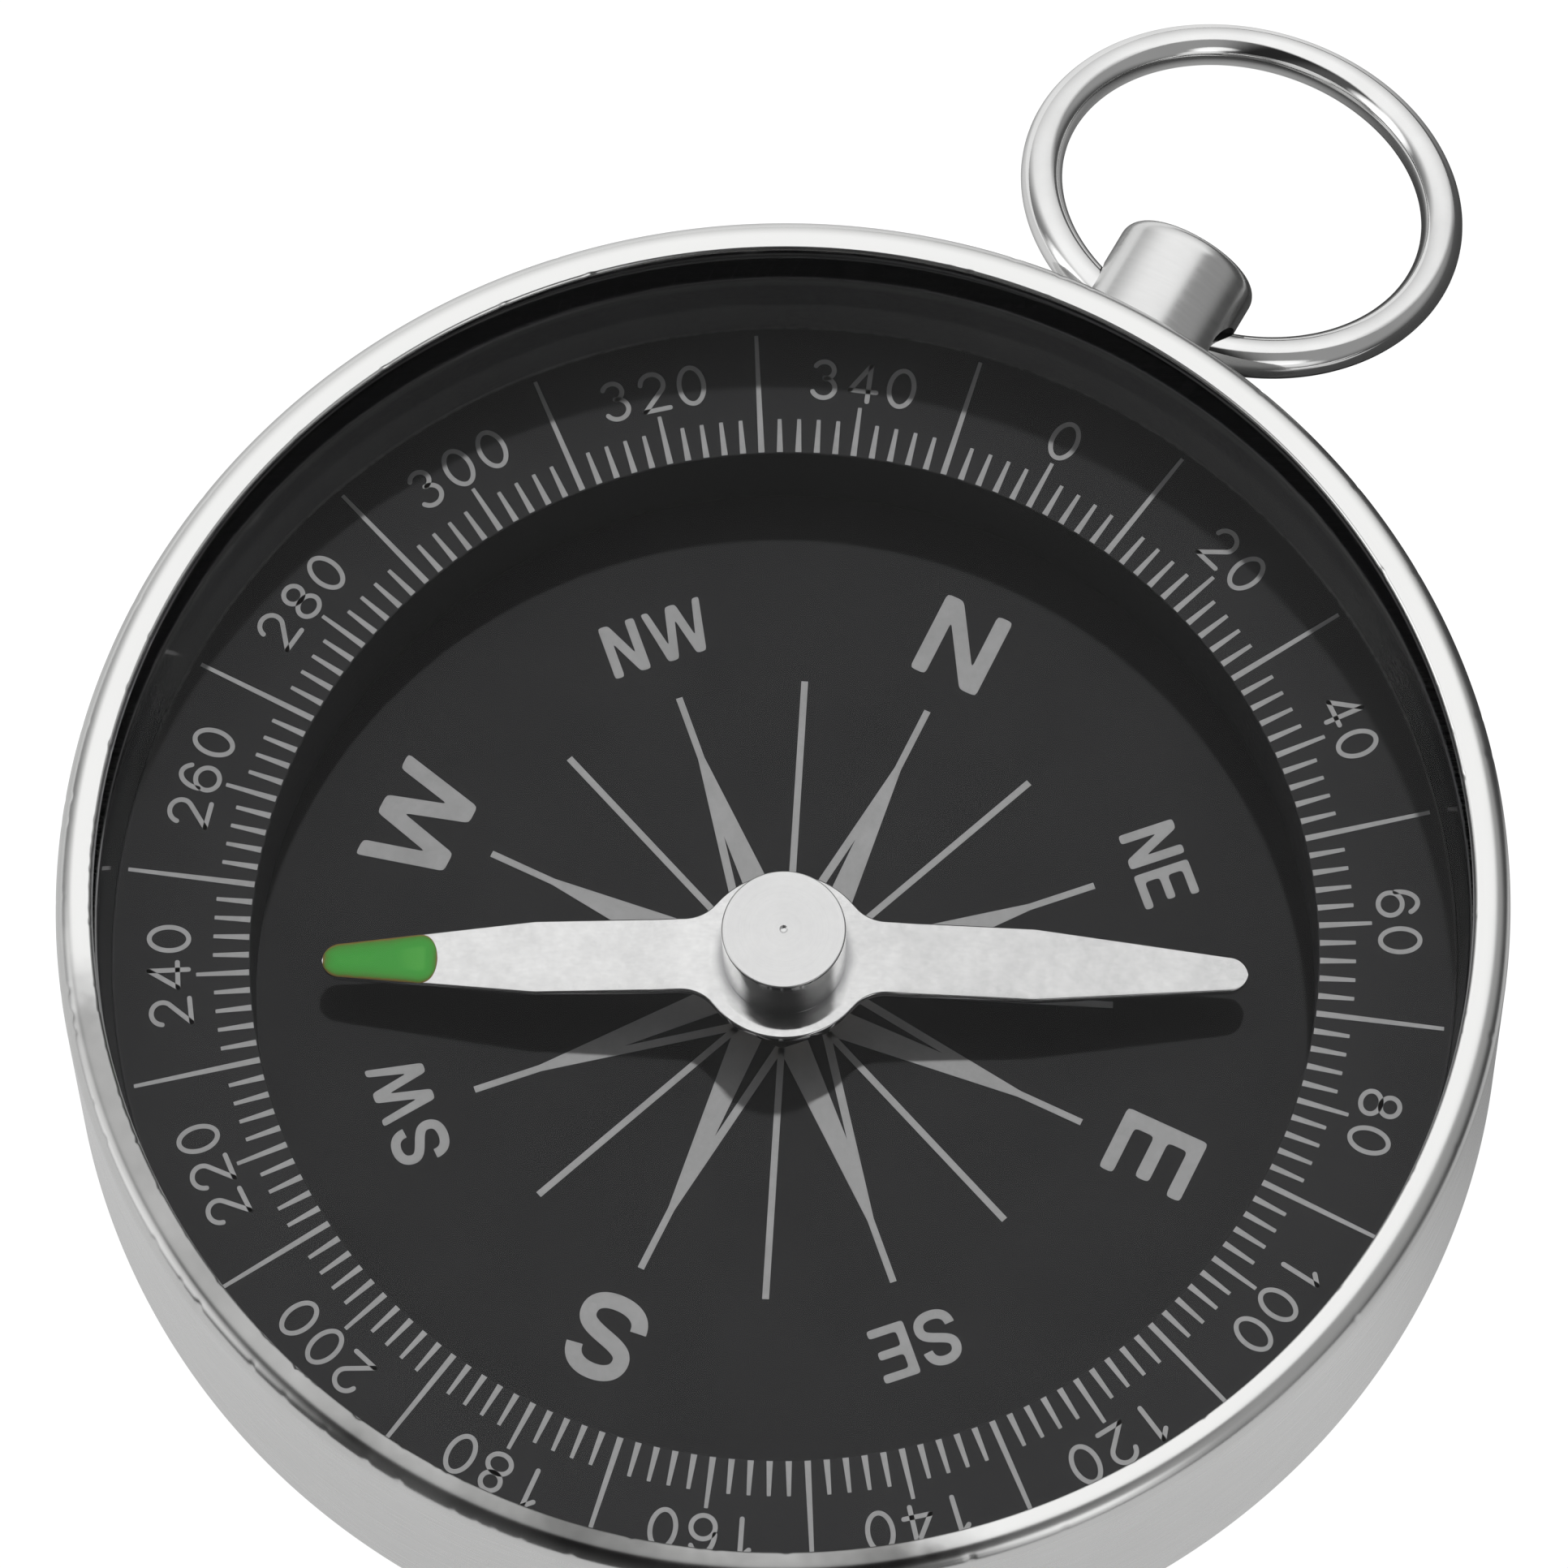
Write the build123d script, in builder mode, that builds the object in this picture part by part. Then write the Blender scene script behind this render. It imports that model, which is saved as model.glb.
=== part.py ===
# Pocket compass: pressed case with a rolled rim, sealed needle works and a swinging lanyard ring
import os
from math import asin, cos, radians, sin, sqrt
from build123d import *

os.makedirs("parts", exist_ok=True)

# Case: one sheet metal cup, its top edge rolled in over the lens
case_diameter = 44.0
case_height = 9.6
sheet = 0.35
lip_width = 1.1
rim_bend = 0.7
foot_bend = 0.6
lip_edge_round = 0.12

# Card and black degree ring inside the case
card_thickness = 0.15
fit_gap = 0.05
ledge_height = 4.05
ring_opening_diameter = 32.7
ring_wall = 1.0
sleeve_height = 3.3
sleeve_foot_gap = 0.3
sleeve_top_gap = 0.1

# Pivot: brass bush on the case floor with a pointed steel pin
bush_diameter = 2.8
bush_height = 1.4
bush_chamfer = 0.3
pin_diameter = 0.8
pin_embed = 1.1
pin_point_height = 4.85
pin_point_length = 0.75
pin_point_radius = 0.06
point_gap = 0.03

# Needle: pressed strip with a raised round middle and drooping arms
needle_bearing = 61.6
needle_sheet = 0.3
needle_reach = 14.25
needle_half_width = 1.18
tip_half_width = 0.57
taper_start = 7.7
collar_diameter = 5.4
collar_fillet = 1.3
collar_top_height = 3.45
joggle_start = 3.0
joggle_end = 4.3
joggle_drop = 0.15
arm_droop = 0.97

# Hub cap on the needle, with its bearing cup
hub_diameter = 3.8
hub_height = 2.4
hub_edge_round = 0.1
hub_spigot_diameter = 2.5
hub_spigot_stand = 0.1
hub_bore_diameter = 1.9
hub_mark_diameter = 0.26
hub_mark_depth = 0.08
cup_height = 0.75
cup_mouth_diameter = 1.1
cup_seat_diameter = 0.16
cup_seat_depth = 0.43

# Stem and lanyard ring
stem_diameter = 4.6
stem_reach = 3.9
stem_height = 4.9
stem_end_round = 0.5
spigot_diameter = 2.4
hole_diameter = 2.0
hole_from_wall = 1.35
ring_diameter = 12.8
wire_diameter = 1.3
table_gap = 0.02

# Radii and heights that follow from the sizes above
case_radius = case_diameter / 2
bore_radius = case_radius - sheet
lip_radius = case_radius - lip_width
lens_top = case_height - sheet
card_top = sheet + card_thickness
sleeve_top = ledge_height + sleeve_height
insert_radius = bore_radius - fit_gap
ring_opening = ring_opening_diameter / 2
bush_radius = bush_diameter / 2
wire_radius = wire_diameter / 2
stem_radius = stem_diameter / 2

# The needle lies along its bearing, counted clockwise from the stem
along_x = sin(radians(needle_bearing))
along_y = cos(radians(needle_bearing))
needle_plane = Plane(origin=(0, 0, 0), x_dir=(along_x, along_y, 0), z_dir=(0, 0, 1))
needle_side = Plane(origin=(0, 0, 0), x_dir=(along_x, along_y, 0), z_dir=(along_y, -along_x, 0))

# The stem points along +Y; the ring slopes down until its far side meets the table
stem_plane = Plane(origin=(0, 0, stem_height), x_dir=(1, 0, 0), z_dir=(0, 1, 0))
hole_y = case_radius + hole_from_wall
hole_plane = Plane(origin=(0, hole_y, stem_height), x_dir=(0, 1, 0), z_dir=(1, 0, 0))
ring_radius = ring_diameter / 2
wire_bow = ring_radius - sqrt(ring_radius**2 - stem_radius**2)
ring_offset = ring_radius - wire_bow / 2
slope_sine = (stem_height - wire_radius - table_gap) / (ring_offset + ring_radius)
slope_cosine = cos(asin(slope_sine))
ring_center_y = hole_y + ring_offset * slope_cosine
ring_center_z = stem_height - ring_offset * slope_sine
ring_axis = Axis((0, ring_center_y, ring_center_z), (0, slope_sine, slope_cosine))
wire_plane = Plane(
    origin=(ring_radius, ring_center_y, ring_center_z),
    x_dir=(1, 0, 0),
    z_dir=(0, -slope_cosine, slope_sine),
)

# Case cup with the rolled rim and the hole for the stem
with BuildPart() as case:
    with BuildSketch(Plane.XY):
        Circle(case_radius)
    extrude(amount=case_height)
    fillet(case.edges().group_by(Axis.Z)[0], foot_bend)
    fillet(case.edges().group_by(Axis.Z)[-1], rim_bend)
    with BuildSketch(Plane.XY.offset(sheet)):
        Circle(bore_radius)
    extrude(amount=lens_top - sheet, mode=Mode.SUBTRACT)
    with BuildSketch(Plane.XY.offset(lens_top)):
        Circle(lip_radius)
    extrude(amount=sheet, mode=Mode.SUBTRACT)
    lip_edge = case.edges().group_by(Axis.Z)[-1].sort_by(SortBy.RADIUS)[0]
    fillet(lip_edge, lip_edge_round)
    with BuildSketch(stem_plane.offset(bore_radius - sheet)):
        Circle(spigot_diameter / 2)
    extrude(amount=3 * sheet, mode=Mode.SUBTRACT)
case.part.label = "case"
export_step(case.part, "parts/case.step")

# Printed card on the case floor
with BuildPart() as dial_card:
    with BuildSketch(Plane.XY.offset(sheet)):
        Circle(insert_radius)
        Circle(bush_radius + fit_gap, mode=Mode.SUBTRACT)
    extrude(amount=card_thickness)
dial_card.part.label = "dial_card"
export_step(dial_card.part, "parts/dial_card.step")

# Black moulded degree ring: wall on the card, flat ledge, then the sleeve that carries the lens
with BuildPart() as degree_ring:
    with BuildSketch(Plane.XZ):
        with BuildLine():
            Polyline(
                (ring_opening, card_top),
                (ring_opening, ledge_height),
                (lip_radius - sleeve_foot_gap, ledge_height),
                (lip_radius - sleeve_top_gap, sleeve_top),
                (insert_radius, sleeve_top),
                (insert_radius, ledge_height - ring_wall),
                (ring_opening + ring_wall, ledge_height - ring_wall),
                (ring_opening + ring_wall, card_top),
                close=True,
            )
        make_face()
    revolve(axis=Axis.Z)
degree_ring.part.label = "degree_ring"
export_step(degree_ring.part, "parts/degree_ring.step")

# Clear lens between the sleeve and the rolled lip
with BuildPart() as lens:
    with BuildSketch(Plane.XY.offset(sleeve_top)):
        Circle(insert_radius)
    extrude(amount=lens_top - sleeve_top)
lens.part.label = "lens"
export_step(lens.part, "parts/lens.step")

# Brass bush on the floor, bored for the pin
with BuildPart() as pivot_bush:
    with BuildSketch(Plane.XY.offset(sheet)):
        Circle(bush_radius)
    extrude(amount=bush_height)
    chamfer(pivot_bush.edges().group_by(Axis.Z)[-1], bush_chamfer)
    with BuildSketch(Plane.XY.offset(sheet + bush_height)):
        Circle(pin_diameter / 2)
    extrude(amount=-pin_embed, mode=Mode.SUBTRACT)
pivot_bush.part.label = "pivot_bush"
export_step(pivot_bush.part, "parts/pivot_bush.step")

# Steel pin with the point that carries the needle
with BuildPart() as pivot_pin:
    pin_foot = sheet + bush_height - pin_embed
    pin_shoulder = pin_point_height - pin_point_length
    with BuildSketch(Plane.XZ):
        with BuildLine():
            Polyline(
                (0, pin_foot),
                (pin_diameter / 2, pin_foot),
                (pin_diameter / 2, pin_shoulder),
                (pin_point_radius, pin_point_height),
                (0, pin_point_height),
                close=True,
            )
        make_face()
    revolve(axis=Axis.Z)
pivot_pin.part.label = "pivot_pin"
export_step(pivot_pin.part, "parts/pivot_pin.step")

# Needle blade: the plan outline cut from a strip bent in side view
with BuildPart() as needle_blade:
    with BuildSketch(needle_plane) as blade_plan:
        with BuildLine():
            Line((taper_start, needle_half_width), (-taper_start, needle_half_width))
            Line((-taper_start, needle_half_width), (tip_half_width - needle_reach, tip_half_width))
            ThreePointArc(
                (tip_half_width - needle_reach, tip_half_width),
                (-needle_reach, 0),
                (tip_half_width - needle_reach, -tip_half_width),
            )
            Line((tip_half_width - needle_reach, -tip_half_width), (-taper_start, -needle_half_width))
            Line((-taper_start, -needle_half_width), (taper_start, -needle_half_width))
            Line((taper_start, -needle_half_width), (needle_reach - tip_half_width, -tip_half_width))
            ThreePointArc(
                (needle_reach - tip_half_width, -tip_half_width),
                (needle_reach, 0),
                (needle_reach - tip_half_width, tip_half_width),
            )
            Line((needle_reach - tip_half_width, tip_half_width), (taper_start, needle_half_width))
        make_face()
        Circle(collar_diameter / 2)
        collar_corner = sqrt((collar_diameter / 2) ** 2 - needle_half_width**2)
        fillet(blade_plan.vertices().filter_by(lambda v: abs(abs(v.X) - collar_corner) < 0.01), collar_fillet)
    extrude(amount=case_height)
    with BuildSketch(needle_side) as blade_bend:
        arm_root = collar_top_height - joggle_drop
        arm_end = arm_root - arm_droop
        with BuildLine():
            Polyline(
                (-needle_reach, arm_end),
                (-joggle_end, arm_root),
                (-joggle_start, collar_top_height),
                (joggle_start, collar_top_height),
                (joggle_end, arm_root),
                (needle_reach, arm_end),
                (needle_reach, arm_end - needle_sheet),
                (joggle_end, arm_root - needle_sheet),
                (joggle_start, collar_top_height - needle_sheet),
                (-joggle_start, collar_top_height - needle_sheet),
                (-joggle_end, arm_root - needle_sheet),
                (-needle_reach, arm_end - needle_sheet),
                close=True,
            )
        make_face()
    extrude(amount=collar_diameter, both=True, mode=Mode.INTERSECT)
    with BuildSketch(needle_plane):
        Circle(hub_spigot_diameter / 2)
    extrude(amount=case_height, mode=Mode.SUBTRACT)
needle_blade.part.label = "needle_blade"
export_step(needle_blade.part, "parts/needle_blade.step")

# Hub cap: spigot through the blade, blind bore for the bearing cup, punch mark on top
with BuildPart() as hub_cap:
    hub_top = collar_top_height + hub_height
    spigot_foot = collar_top_height - needle_sheet - hub_spigot_stand
    cup_top = pin_point_height + point_gap - cup_seat_depth + cup_height
    with BuildSketch(Plane.XY.offset(collar_top_height)):
        Circle(hub_diameter / 2)
    extrude(amount=hub_height)
    fillet(hub_cap.edges().group_by(Axis.Z)[-1], hub_edge_round)
    with BuildSketch(Plane.XY.offset(spigot_foot)):
        Circle(hub_spigot_diameter / 2)
    extrude(amount=collar_top_height - spigot_foot)
    with BuildSketch(Plane.XY.offset(spigot_foot)):
        Circle(hub_bore_diameter / 2)
    extrude(amount=cup_top - spigot_foot, mode=Mode.SUBTRACT)
    with BuildSketch(Plane.XZ):
        with BuildLine():
            Polyline(
                (0, hub_top),
                (hub_mark_diameter / 2, hub_top),
                (0, hub_top - hub_mark_depth),
                close=True,
            )
        make_face()
    revolve(axis=Axis.Z, mode=Mode.SUBTRACT)
hub_cap.part.label = "hub_cap"
export_step(hub_cap.part, "parts/hub_cap.step")

# Bearing cup in the hub, with the conical seat for the pin's point
with BuildPart() as bearing_cup:
    cup_foot = cup_top - cup_height
    with BuildSketch(Plane.XZ):
        with BuildLine():
            Polyline(
                (cup_mouth_diameter / 2, cup_foot),
                (hub_bore_diameter / 2, cup_foot),
                (hub_bore_diameter / 2, cup_top),
                (0, cup_top),
                (0, cup_foot + cup_seat_depth),
                (cup_seat_diameter / 2, cup_foot + cup_seat_depth),
                close=True,
            )
        make_face()
    revolve(axis=Axis.Z)
bearing_cup.part.label = "bearing_cup"
export_step(bearing_cup.part, "parts/bearing_cup.step")

# Stem: saddle foot on the case wall, spigot through it, cross hole for the ring
with BuildPart() as stem:
    with BuildSketch(stem_plane.offset(bore_radius - sheet)):
        Circle(stem_radius)
    extrude(amount=case_radius + stem_reach - bore_radius + sheet)
    fillet(stem.edges().group_by(Axis.Y)[-1], stem_end_round)
    with BuildSketch(Plane.XY):
        Circle(case_radius)
    extrude(amount=case_height, mode=Mode.SUBTRACT)
    with BuildSketch(stem_plane.offset(bore_radius)):
        Circle(spigot_diameter / 2)
    extrude(amount=2 * sheet)
    with BuildSketch(hole_plane):
        Circle(hole_diameter / 2)
    extrude(amount=stem_diameter, both=True, mode=Mode.SUBTRACT)
stem.part.label = "stem"
export_step(stem.part, "parts/stem.step")

# Lanyard ring of round wire through the stem's cross hole
with BuildPart() as lanyard_ring:
    with BuildSketch(wire_plane):
        Circle(wire_radius)
    revolve(axis=ring_axis)
lanyard_ring.part.label = "lanyard_ring"
export_step(lanyard_ring.part, "parts/lanyard_ring.step")
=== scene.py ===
import bpy
import bmesh
import random
from math import atan2, cos, degrees, exp, hypot, pi, radians, sin, sqrt, tan
from mathutils import Matrix, Vector


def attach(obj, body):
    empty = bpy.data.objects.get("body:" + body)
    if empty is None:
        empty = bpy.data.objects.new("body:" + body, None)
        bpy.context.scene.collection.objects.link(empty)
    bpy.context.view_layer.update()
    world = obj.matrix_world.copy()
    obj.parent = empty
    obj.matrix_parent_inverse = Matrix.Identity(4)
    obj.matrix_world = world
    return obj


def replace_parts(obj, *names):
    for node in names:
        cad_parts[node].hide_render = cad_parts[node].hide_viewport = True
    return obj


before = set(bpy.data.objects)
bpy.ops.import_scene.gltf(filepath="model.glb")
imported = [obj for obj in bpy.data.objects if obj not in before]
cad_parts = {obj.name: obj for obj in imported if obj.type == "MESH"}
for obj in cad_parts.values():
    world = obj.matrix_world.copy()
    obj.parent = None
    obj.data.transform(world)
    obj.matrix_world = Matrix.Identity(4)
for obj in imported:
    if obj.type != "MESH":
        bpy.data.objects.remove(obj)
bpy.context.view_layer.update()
scene = bpy.context.scene
mm = 0.001


# Mesh helpers. All sizes are in mm until the mesh is made.

weldDistance = 2e-8  # metres


def meshFrom(name, points, faces):
    mesh = bpy.data.meshes.new(name)
    mesh.from_pydata([(x * mm, y * mm, z * mm) for x, y, z in points], [], faces)
    return mesh


def settle(mesh, sharp=35):
    tidy = bmesh.new()
    tidy.from_mesh(mesh)
    bmesh.ops.remove_doubles(tidy, verts=tidy.verts, dist=weldDistance)
    bmesh.ops.recalc_face_normals(tidy, faces=tidy.faces)
    tidy.to_mesh(mesh)
    tidy.free()
    mesh.shade_smooth()
    mesh.set_sharp_from_angle(angle=radians(sharp))
    return mesh


def setPiece(name, mesh, *finishes):
    mesh.name = name
    for finish in finishes:
        mesh.materials.append(finish)
    piece = bpy.data.objects.new(name, mesh)
    scene.collection.objects.link(piece)
    return piece


def softProfile(corners, closed=False):
    # corners are (radius, height, rounding); a rounded one becomes an arc with a support point each side
    outline = []
    last = len(corners) - 1
    stepAngle, leastSteps, support = 8, 4, 0.2
    for i, (r, z, rounding) in enumerate(corners):
        here = Vector((r, z))
        if rounding <= 0 or (not closed and i in (0, last)):
            outline.append(here)
            continue
        into = (here - Vector(corners[i - 1][:2])).normalized()
        away = (Vector(corners[(i + 1) % (last + 1)][:2]) - here).normalized()
        turn = into.angle(away)
        side = 1 if into.x * away.y - into.y * away.x > 0 else -1
        reach = rounding * tan(turn / 2)
        start = here - into * reach
        centre = start + Vector((-into.y, into.x)) * side * rounding
        spoke = start - centre
        steps = max(leastSteps, round(degrees(turn) / stepAngle))
        outline.append(start - into * support * rounding)
        for k in range(steps + 1):
            c, s = cos(side * turn * k / steps), sin(side * turn * k / steps)
            outline.append(centre + Vector((spoke.x * c - spoke.y * s, spoke.x * s + spoke.y * c)))
        outline.append(here + away * (reach + support * rounding))
    return outline


def latheMesh(name, outline, segments, closed=False):
    # outline points are (radius, height); one on the axis becomes a single point
    points, faces, rows = [], [], []
    for p in outline:
        count = 1 if abs(p.x) < 1e-6 else segments
        rows.append([len(points) + s for s in range(count)])
        for s in range(count):
            a = 2 * pi * s / segments
            points.append((p.x * sin(a), p.x * cos(a), p.y))
    for a, b in zip(rows, rows[1:] + (rows[:1] if closed else [])):
        for s in range(segments):
            n = (s + 1) % segments
            corner = [a[s % len(a)], b[s % len(b)], b[n % len(b)], a[n % len(a)]]
            corner = list(dict.fromkeys(corner))
            if len(corner) > 2:
                faces.append(corner)
    return meshFrom(name, points, faces)


def lathePiece(name, corners, segments, finish, closed=False):
    return setPiece(name, settle(latheMesh(name, softProfile(corners, closed), segments, closed)), finish)


def rodMesh(name, radius, low, high, segments):
    return latheMesh(name, [Vector(p) for p in ((0, low), (radius, low), (radius, high), (0, high))], segments)


def plainCopy(piece):
    # the finished shape of a piece with its modifiers, as a plain mesh
    depsgraph = bpy.context.evaluated_depsgraph_get()
    mesh = bpy.data.meshes.new_from_object(piece.evaluated_get(depsgraph), depsgraph=depsgraph)
    old = piece.data
    bpy.data.objects.remove(piece)
    bpy.data.meshes.remove(old)
    return mesh


def cutBy(mesh, cutter):
    # takes the cutter's shape out of the mesh
    body = setPiece("cutBody", mesh)
    tool = setPiece("cutTool", cutter)
    cut = body.modifiers.new("cut", "BOOLEAN")
    cut.operation = "DIFFERENCE"
    cut.solver = "EXACT"
    cut.object = tool
    result = plainCopy(body)
    bpy.data.objects.remove(tool)
    bpy.data.meshes.remove(cutter)
    return result


# Node helpers

class NodeWeb:
    # a node tree written as calls: a number or tuple sets a socket, anything else is linked to it
    def __init__(self, tree):
        self.tree = tree

    def put(self, socket, value):
        if isinstance(value, (int, float, tuple)):
            socket.default_value = value
        else:
            self.tree.links.new(value, socket)

    def node(self, kind, operation=None, *values, **named):
        # values fill the sockets in order, named ones by label with _ for a space
        made = self.tree.nodes.new(kind)
        if operation:
            made.operation = operation
        for k, value in enumerate(values):
            self.put(made.inputs[k], value)
        for label, value in named.items():
            self.put(made.inputs[label.replace("_", " ")], value)
        return made

    def math(self, operation, *values):
        return self.node("ShaderNodeMath", operation, *values).outputs["Value"]

    def plus(self, a, b):
        return self.math("ADD", a, b)

    def minus(self, a, b):
        return self.math("SUBTRACT", a, b)

    def times(self, a, b):
        return self.math("MULTIPLY", a, b)

    def larger(self, a, b):
        return self.math("MAXIMUM", a, b)

    def mixed(self, *parts):
        # sum of (value, weight) pairs
        total = 0.0
        for value, weight in parts:
            total = self.plus(total, self.times(value, weight))
        return total

    def remap(self, value, fromLow, fromHigh, toLow, toHigh, soft=False):
        made = self.node("ShaderNodeMapRange", None, value, fromLow, fromHigh, toLow, toHigh)
        made.interpolation_type = "SMOOTHSTEP" if soft else "LINEAR"
        return made.outputs["Result"]

    def mask(self, value, outside, inside, amount=1):
        # rises softly from 0 to the amount
        return self.remap(value, outside, inside, 0, amount, soft=True)

    def spread(self, noise, low, high):
        # the usual range of a noise, drawn out from low to high
        return self.remap(noise, 0.3, 0.7, low, high)

    def parts(self, vector):
        return self.node("ShaderNodeSeparateXYZ", None, vector).outputs

    def vector(self, x, y, z):
        return self.node("ShaderNodeCombineXYZ", None, x, y, z).outputs["Vector"]


class FinishWeb(NodeWeb):
    # a material; patterns sit on Object coordinates, in metres
    def __init__(self, name, colour, roughness, metallic=0.0):
        self.material = bpy.data.materials.new(name)
        self.material.use_nodes = True
        super().__init__(self.material.node_tree)
        self.shader = self.tree.nodes["Principled BSDF"]
        self.place = self.node("ShaderNodeTexCoord").outputs["Object"]
        self.give(Base_Color=(*colour, 1), Roughness=roughness, Metallic=metallic)

    def give(self, **inputs):
        for label, value in inputs.items():
            self.put(self.shader.inputs[label.replace("_", " ")], value)
        return self.material

    def stretched(self, scale=(1, 1, 1), turn=0.0, place=None):
        place = self.place if place is None else place
        turn = (0, 0, radians(turn))
        return self.node("ShaderNodeMapping", Vector=place, Scale=scale, Rotation=turn).outputs["Vector"]

    def axes(self, turn=0.0):
        return self.parts(self.stretched(turn=turn) if turn else self.place)

    def radius(self):
        # distance from the turning axis
        return self.node("ShaderNodeVectorMath", "LENGTH", self.stretched((1, 1, 0))).outputs["Value"]

    def grain(self, scale, detail=3.0, rough=0.55, place=None):
        place = self.place if place is None else place
        made = self.node("ShaderNodeTexNoise", Vector=place, Scale=scale, Detail=detail, Roughness=rough)
        return made.outputs["Fac"]

    def between(self, factor, a, b):
        return self.node("ShaderNodeMix", Factor=factor, A=a, B=b).outputs["Result"]

    def tinted(self, value, *stops):
        # stops are (position, red and green, blue) or (position, red, green, blue)
        made = self.node("ShaderNodeValToRGB", Fac=value)
        ramp = made.color_ramp.elements
        while len(ramp) < len(stops):
            ramp.new(0.5)
        for element, (at, *colour) in zip(ramp, stops):
            element.position = at
            element.color = (colour[0], colour[-2], colour[-1], 1)
        return made.outputs["Color"]

    def bump(self, height, strength, distance):
        made = self.node("ShaderNodeBump", Height=height, Strength=strength, Distance=distance * mm)
        return made.outputs["Normal"]


# Finishes

needleBearing = 61.6  # the way the needle points at rest, clockwise from the stem


def caseFinish():
    # satin plate on the wall, brighter bend and lip; a painted dark reflection dulls the lip along one side, and
    # painted shade darkens the lip's inner edge, which is partly an unplated cut edge too
    f = FinishWeb("platedCase", (0.74, 0.74, 0.735), 0.3, 1.0)
    height = f.axes()["Z"]
    bend = f.mask(height, 0.0089, 0.0092)
    lip = f.mask(height, 0.00930, 0.00957)
    cloud = f.grain(350)
    reflectionDarkening = 0.0
    # painted dark reflection: the lip's colour is dulled along one side to stand for a darker reflection there
    for turn, inner, outer, amount in ((5.5, -0.0158, -0.0128, 0.74), (-18, -0.0212, -0.0185, 0.09)):
        side = f.plus(f.axes(turn)["Y"], f.spread(cloud, -0.0008, 0.0008))
        reflectionDarkening = f.plus(f.remap(side, inner, outer, amount, 0, soft=True), reflectionDarkening)
    # painted shade: the lip's inner edge is darkened where it meets the lens, partly an unplated cut edge
    cut = f.times(bend, f.remap(height, 0.00952, 0.00944, 0, 0.9))
    cut = f.times(f.remap(f.radius(), 0.02098, 0.02093, 0, 1), cut)
    tone = f.minus(f.times(lip, 0.55), f.larger(f.times(lip, reflectionDarkening), cut))
    tone = f.plus(tone, f.remap(cloud, 0.25, 0.75, 0.3, 0.42))
    shade = f.tinted(tone, (0.0, 0.14, 0.138), (0.1, 0.33, 0.325), (0.3, 0.63, 0.625), (0.42, 0.69, 0.685),
                     (0.8, 0.90, 0.89), (1.0, 0.93, 0.92))
    marks = f.grain(9000, 2, place=f.stretched((0.06, 0.06, 1)))
    satin = f.plus(f.spread(marks, 0.24, 0.34), f.spread(cloud, -0.02, 0.04))
    scuffs = f.grain(2600, 4, 0.7, f.stretched((1, 1, 0.5)))
    relief = f.times(f.plus(marks, f.times(scuffs, 0.6)), f.remap(bend, 0, 1, 1, 0.25))
    return f.give(Base_Color=shade, Roughness=f.between(bend, satin, f.spread(cloud, 0.2, 0.27)),
                  Normal=f.bump(relief, 0.14, 0.012))


def cardFinish():
    # matt charcoal card, faint paper grain
    f = FinishWeb("darkCard", (0.031, 0.031, 0.032), 0.72)
    fibre = f.grain(5200, 3, 0.6)
    tone = f.mixed((f.grain(260, 4), 0.5), (fibre, 0.5))
    return f.give(Base_Color=f.tinted(tone, (0.3, 0.0268, 0.0278), (0.7, 0.0362, 0.037)),
                  Roughness=f.spread(fibre, 0.64, 0.8), Specular_IOR_Level=0.12, Normal=f.bump(fibre, 0.3, 0.02))


def ringPlasticFinish():
    # black moulding: matt printed ledge, glossy sleeve with painted light: paler along its far side, with a painted
    # light line along its top there
    f = FinishWeb("blackPlastic", (0.028, 0.028, 0.029), 0.5)
    sleeve = f.mask(f.radius(), 0.02045, 0.02062)
    cloud, speck = f.grain(240, 4), f.grain(6000, 3, 0.6)
    # painted light: the sleeve and a line along its top are paler only on the far side, standing in for light falling
    # there
    farSide = f.mask(f.axes(-31)["Y"], 0.003, 0.012)
    pale = f.plus(f.times(sleeve, 0.35), f.mask(f.axes()["Z"], 0.0069, 0.0073, 0.22))
    tone = f.plus(f.mixed((cloud, 0.25), (speck, 0.25)), f.times(pale, farSide))
    shade = f.tinted(tone, (0.15, 0.023, 0.024), (0.35, 0.033, 0.034), (0.55, 0.14, 0.141), (0.7, 0.18, 0.181),
                     (0.95, 0.21, 0.21))
    relief = f.times(speck, f.remap(sleeve, 0, 1, 1, 0.1))
    return f.give(Base_Color=shade, Specular_IOR_Level=0.22, Normal=f.bump(relief, 0.1, 0.015),
                  Roughness=f.between(sleeve, f.spread(speck, 0.48, 0.64), f.spread(cloud, 0.07, 0.13)))


def inkFinish(name, low, high):
    # printed grey, slightly uneven where the ink is thin
    f = FinishWeb(name, (0.36, 0.36, 0.36), 0.6)
    speck = f.grain(7000, 2)
    tone = f.mixed((f.grain(900, 4, 0.6), 0.65), (speck, 0.35))
    return f.give(Base_Color=f.tinted(tone, (0.3, low, low), (0.68, high, high * 1.005)),
                  Roughness=f.spread(speck, 0.5, 0.7), Specular_IOR_Level=0.2)


def lensFinish():
    # clear acrylic: light passes straight through, with a faint gloss that grows at low angles
    f = FinishWeb("clearLens", (1, 1, 1), 0.03)
    f.tree.nodes.remove(f.shader)
    clear = f.node("ShaderNodeBsdfTransparent").outputs["BSDF"]
    gloss = f.node("ShaderNodeBsdfGlossy", Roughness=f.spread(f.grain(420, 4), 0.015, 0.05)).outputs["BSDF"]
    tilt = f.node("ShaderNodeLayerWeight", Blend=0.5).outputs["Facing"]
    share = f.remap(f.math("POWER", tilt, 5), 0, 1, 0.007, 0.8)
    mix = f.node("ShaderNodeMixShader", None, share, clear, gloss).outputs["Shader"]
    f.put(f.tree.nodes["Material Output"].inputs["Surface"], mix)
    return f.material


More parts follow.
